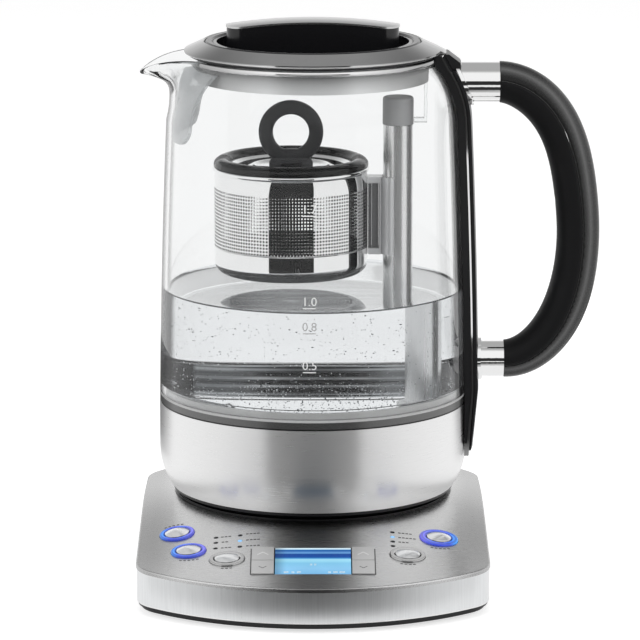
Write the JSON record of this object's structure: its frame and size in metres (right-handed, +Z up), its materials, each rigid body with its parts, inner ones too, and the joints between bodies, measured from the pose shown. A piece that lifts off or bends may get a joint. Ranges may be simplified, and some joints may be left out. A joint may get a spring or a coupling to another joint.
{
  "type": "automatic tea maker",
  "caption": "Glass electric kettle with a tea basket that a motor raises and lowers on a post inside, on a steel power base with buttons and a display.",
  "frame": {"origin": "on the kettle's vertical axis, in the plane the base's feet stand on", "axes": "+Z up, +X towards the handle (right, seen from the front), -Y towards the control panel (front)"},
  "size_m": [0.2227, 0.2324, 0.267],
  "materials": {
    "brushed_steel": "fine brushed, semi-matt",
    "steel": "polished sheet",
    "chrome": "polished",
    "black_plastic": "satin black",
    "soft_black": "soft satin black",
    "seal_black": "matt black silicone",
    "glass": "clear borosilicate",
    "clear_plastic": "clear moulded",
    "smoke_plastic": "translucent grey",
    "grey_plastic": "grey moulded",
    "blue_light": "lit blue light guide",
    "button_silver": "silver, satin",
    "key_silver": "silver, matt",
    "display": "lit blue display",
    "lamp": "clear light pipe",
    "brass": "plain",
    "board": "green circuit board",
    "motor_metal": "plain",
    "magnet_metal": "nickel plated"
  },
  "bodies": {
    "base": {"base_deck": "brushed_steel", "base_band": "brushed_steel", "base_tray": "black_plastic", "base_seat": "black_plastic", "base_feet": "seal_black", "base_screws": "steel", "cord_gland": "black_plastic", "base_connector": "black_plastic", "connector_contacts": "brass", "control_board": "board", "power_board": "board", "display_module": "black_plastic", "display_window": "display", "button_light_rings": "blue_light", "button_bezels": "chrome", "panel_lamps": "lamp", "tact_switches": "black_plastic"},
    "jug_connector": {"jug_connector": "black_plastic"},
    "jug": {"housing_shell": "brushed_steel", "jug_underside": "black_plastic", "heater_plate": "steel", "heating_element": "steel", "plate_seal": "seal_black", "glass_jug": "glass", "neck_collar": "chrome", "neck_seal": "seal_black", "handle_bracket": "black_plastic", "bracket_trim": "chrome", "bracket_cover": "black_plastic", "upper_ferrule": "chrome", "lower_ferrule": "chrome", "outer_grip": "soft_black", "inner_grip": "black_plastic", "drive_post": "steel", "post_cap": "grey_plastic", "post_stay": "clear_plastic", "lift_motor": "motor_metal", "temperature_sensor": "steel", "spout_filter": "smoke_plastic"},
    "jug_lid": {"lid_rim": "chrome", "lid_bowl": "black_plastic", "lid_skirt": "steel", "lid_handle_bar": "black_plastic", "lid_handle_plate": "brushed_steel"},
    "tea_basket": {"basket_cup": "steel", "basket_bracket": "steel", "bracket_magnet": "magnet_metal"},
    "tea_basket_lid": {"basket_lid_disc": "steel", "basket_lid_handle": "black_plastic"},
    "magnet_carriage": {"magnet_carriage": "magnet_metal"},
    "lead_screw": {"lead_screw": "steel"},
    "auto_start_button": {"auto_start_button": "button_silver"},
    "keep_warm_button": {"keep_warm_button": "button_silver"},
    "tea_button": {"tea_button": "button_silver"},
    "strength_button": {"strength_button": "button_silver"},
    "hot_water_button": {"hot_water_button": "button_silver"},
    "temperature_up_key": {"temperature_up_key": "key_silver"},
    "temperature_down_key": {"temperature_down_key": "key_silver"},
    "time_up_key": {"time_up_key": "key_silver"},
    "time_down_key": {"time_down_key": "key_silver"}
  },
  "joints": [
    {"name": "jug_lift", "type": "slide", "parent": "base", "child": "jug_connector", "axis": [0, 0, 1], "range_m": [0, 0.06]},
    {"name": "jug_swivel", "type": "hinge", "parent": "jug_connector", "child": "jug", "pos_m": [0, 0, 0.05], "axis": [0, 0, 1], "continuous": true},
    {"name": "jug_lid_lift", "type": "slide", "parent": "jug", "child": "jug_lid", "axis": [0, 0, 1], "range_m": [0, 0.06]},
    {"name": "basket_travel", "type": "slide", "parent": "jug", "child": "tea_basket", "axis": [0, 0, 1], "range_m": [-0.054, 0]},
    {"name": "carriage_travel", "type": "slide", "parent": "jug", "child": "magnet_carriage", "axis": [0, 0, 1], "range_m": [-0.054, 0]},
    {"name": "screw_spin", "type": "hinge", "parent": "jug", "child": "lead_screw", "pos_m": [0.0412, 0, 0.1], "axis": [0, 0, 1], "range_deg": [-1620, 0]},
    {"name": "basket_lid_lift", "type": "slide", "parent": "tea_basket", "child": "tea_basket_lid", "axis": [0, 0, 1], "range_m": [0, 0.008]},
    {"name": "auto_start_press", "type": "slide", "parent": "base", "child": "auto_start_button", "axis": [0.1317, 0.1384, -0.9816], "range_m": [0, 0.001], "stiffness_N_per_m": 400, "springref_m": -0.0005},
    {"name": "keep_warm_press", "type": "slide", "parent": "base", "child": "keep_warm_button", "axis": [0.0835, 0.1296, -0.988], "range_m": [0, 0.001], "stiffness_N_per_m": 400, "springref_m": -0.0005},
    {"name": "tea_press", "type": "slide", "parent": "base", "child": "tea_button", "axis": [0.0526, 0.1358, -0.9893], "range_m": [0, 0.001], "stiffness_N_per_m": 400, "springref_m": -0.0005},
    {"name": "strength_press", "type": "slide", "parent": "base", "child": "strength_button", "axis": [-0.0634, 0.1408, -0.988], "range_m": [0, 0.001], "stiffness_N_per_m": 400, "springref_m": -0.0005},
    {"name": "hot_water_press", "type": "slide", "parent": "base", "child": "hot_water_button", "axis": [-0.1153, 0.1453, -0.9826], "range_m": [0, 0.001], "stiffness_N_per_m": 400, "springref_m": -0.0005},
    {"name": "temperature_up_press", "type": "slide", "parent": "base", "child": "temperature_up_key", "axis": [0, 0.1528, -0.9883], "range_m": [0, 0.0008], "stiffness_N_per_m": 400, "springref_m": -0.0005},
    {"name": "temperature_down_press", "type": "slide", "parent": "base", "child": "temperature_down_key", "axis": [0, 0.1528, -0.9883], "range_m": [0, 0.0008], "stiffness_N_per_m": 400, "springref_m": -0.0005},
    {"name": "time_up_press", "type": "slide", "parent": "base", "child": "time_up_key", "axis": [0, 0.1528, -0.9883], "range_m": [0, 0.0008], "stiffness_N_per_m": 400, "springref_m": -0.0005},
    {"name": "time_down_press", "type": "slide", "parent": "base", "child": "time_down_key", "axis": [0, 0.1528, -0.9883], "range_m": [0, 0.0008], "stiffness_N_per_m": 400, "springref_m": -0.0005}
  ],
  "couplings": [
    {"joint": "carriage_travel", "follows": "basket_travel", "ratio": 1},
    {"joint": "screw_spin", "follows": "basket_travel", "rad_per_m": 523.59}
  ]
}
